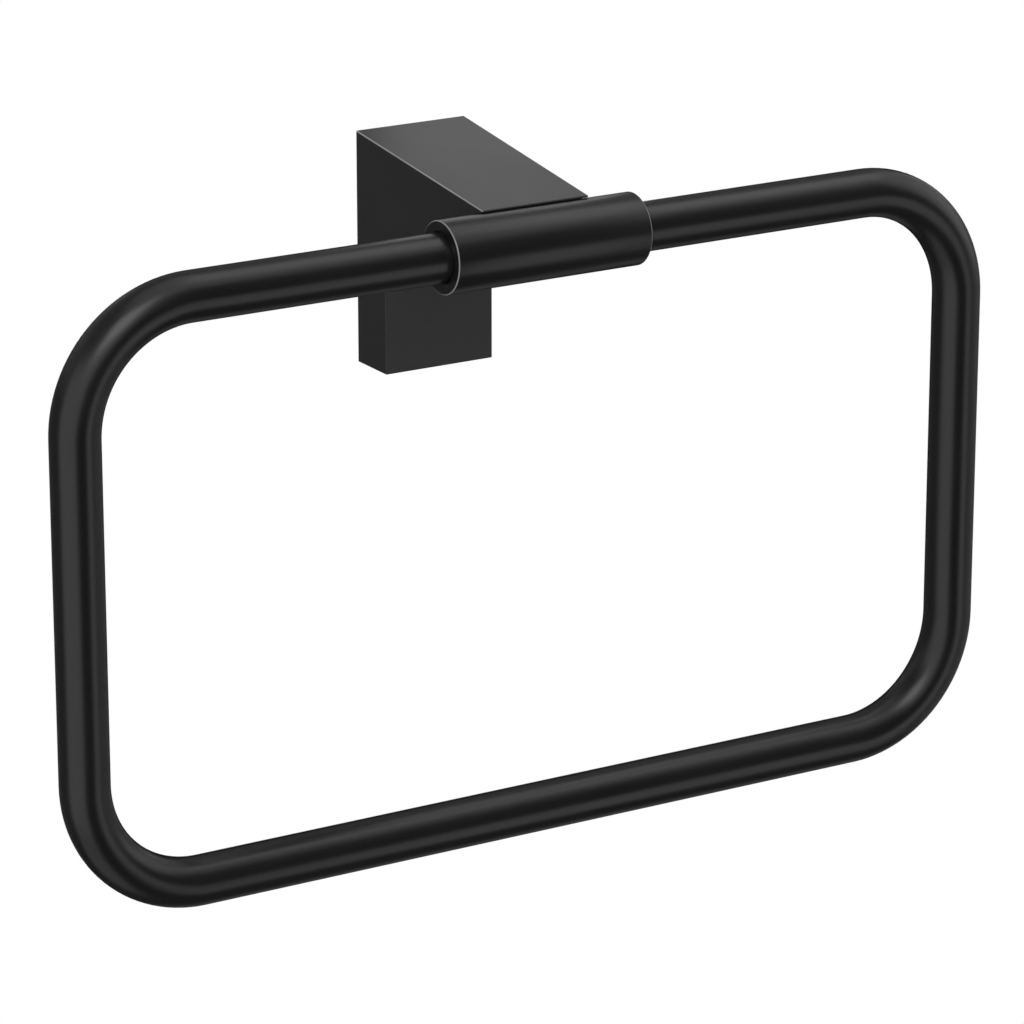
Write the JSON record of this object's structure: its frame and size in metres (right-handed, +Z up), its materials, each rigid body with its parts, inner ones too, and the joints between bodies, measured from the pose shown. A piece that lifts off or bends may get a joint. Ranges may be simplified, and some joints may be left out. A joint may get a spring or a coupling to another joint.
{
  "type": "towel ring",
  "caption": "Wall-mounted towel ring: round bar bent to a rounded rectangle, its top bar held in a plain sleeve on the tapered arm of a block-shaped wall bracket.",
  "frame": {"origin": "middle of the bracket's back on the wall plane, halfway between the two wall screw holes", "axes": "+Y into the wall, +Z up, +X to the right for someone facing the wall"},
  "size_m": [0.212, 0.0573, 0.1368],
  "materials": {
    "black_bracket": "matt black powder coat",
    "black_bar": "satin black coat",
    "black_screw": "black oxide",
    "zinc_steel": "zinc plated",
    "spigot_brass": "turned"
  },
  "bodies": {
    "root": {"bracket_body": "black_bracket", "sleeve": "black_bar", "towel_ring": "black_bar", "wall_plate": "zinc_steel", "lock_screw": "black_screw", "sleeve_screw": "zinc_steel", "ring_spigot": "spigot_brass"}
  },
  "joints": []
}
